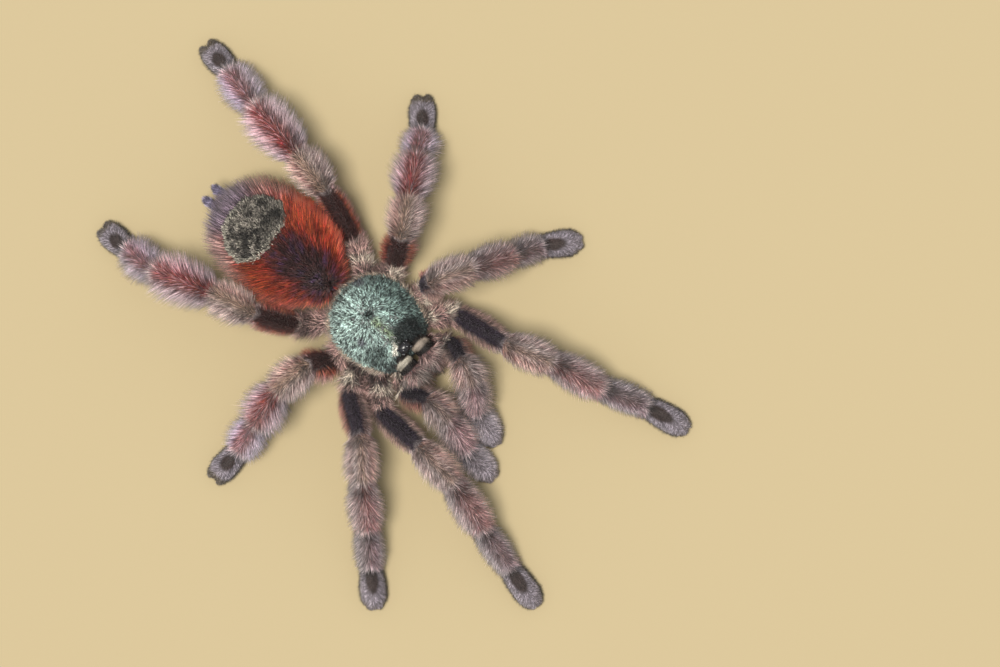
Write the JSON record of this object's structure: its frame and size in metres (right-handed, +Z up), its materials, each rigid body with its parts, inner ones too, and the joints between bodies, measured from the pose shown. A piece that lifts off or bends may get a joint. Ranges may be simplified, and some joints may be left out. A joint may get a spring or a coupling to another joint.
{
  "type": "tarantula",
  "caption": "Life-size adult female pinktoe tarantula, standing on the floor with legs spread and palps forward; a still display model.",
  "frame": {"origin": "centre of the model's box on the floor that the feet stand on", "axes": "+Z up; the head faces -Y; +X is the animal's left side"},
  "size_m": [0.085, 0.1232, 0.0215],
  "materials": {
    "carapace": "blue-green carapace with short hair that lies flat and has a satin sheen",
    "dark_cuticle": "nearly black cuticle with sparse short hair",
    "abdomen_hair": "long rust-red hair over dark velvet, with a grey speckled patch",
    "jaw_hair": "short pale beige hair",
    "hip_hair": "tangled pale brown hair",
    "femur_hair": "black velvet with long rosy hairs at its sides",
    "leg_hair": "rosy-mauve hair, long and standing out",
    "foot_hair": "grey-lilac hair with a dark pad mark and tip",
    "spinneret_skin": "violet-grey short hair",
    "eye": "wet black gloss",
    "fang": "polished black-brown"
  },
  "bodies": {
    "root": {"carapace": "carapace", "sternum": "dark_cuticle", "pedicel": "dark_cuticle", "ocular_tubercle": "dark_cuticle", "abdomen": "abdomen_hair", "eye_anterior_median_left": "eye", "eye_anterior_median_right": "eye", "eye_anterior_lateral_left": "eye", "eye_anterior_lateral_right": "eye", "eye_posterior_lateral_left": "eye", "eye_posterior_lateral_right": "eye", "eye_posterior_median_left": "eye", "eye_posterior_median_right": "eye", "chelicera_left": "jaw_hair", "fang_left": "fang", "spinneret_lateral_left": "spinneret_skin", "spinneret_median_left": "spinneret_skin", "chelicera_right": "jaw_hair", "fang_right": "fang", "spinneret_lateral_right": "spinneret_skin", "spinneret_median_right": "spinneret_skin", "palp_left_coxa": "hip_hair", "palp_left_femur": "femur_hair", "palp_left_foot": "foot_hair", "palp_right_coxa": "hip_hair", "palp_right_femur": "femur_hair", "palp_right_foot": "foot_hair", "leg_left_1_coxa": "hip_hair", "leg_left_1_femur": "femur_hair", "leg_left_1_shank": "leg_hair", "leg_left_1_foot": "foot_hair", "leg_left_2_coxa": "hip_hair", "leg_left_2_femur": "femur_hair", "leg_left_2_shank": "leg_hair", "leg_left_2_foot": "foot_hair", "leg_left_3_coxa": "hip_hair", "leg_left_3_femur": "femur_hair", "leg_left_3_shank": "leg_hair", "leg_left_3_foot": "foot_hair", "leg_left_4_coxa": "hip_hair", "leg_left_4_femur": "femur_hair", "leg_left_4_shank": "leg_hair", "leg_left_4_foot": "foot_hair", "leg_right_1_coxa": "hip_hair", "leg_right_1_femur": "femur_hair", "leg_right_1_shank": "leg_hair", "leg_right_1_foot": "foot_hair", "leg_right_2_coxa": "hip_hair", "leg_right_2_femur": "femur_hair", "leg_right_2_shank": "leg_hair", "leg_right_2_foot": "foot_hair", "leg_right_3_coxa": "hip_hair", "leg_right_3_femur": "femur_hair", "leg_right_3_shank": "leg_hair", "leg_right_3_foot": "foot_hair", "leg_right_4_coxa": "hip_hair", "leg_right_4_femur": "femur_hair", "leg_right_4_shank": "leg_hair", "leg_right_4_foot": "foot_hair"}
  },
  "joints": []
}
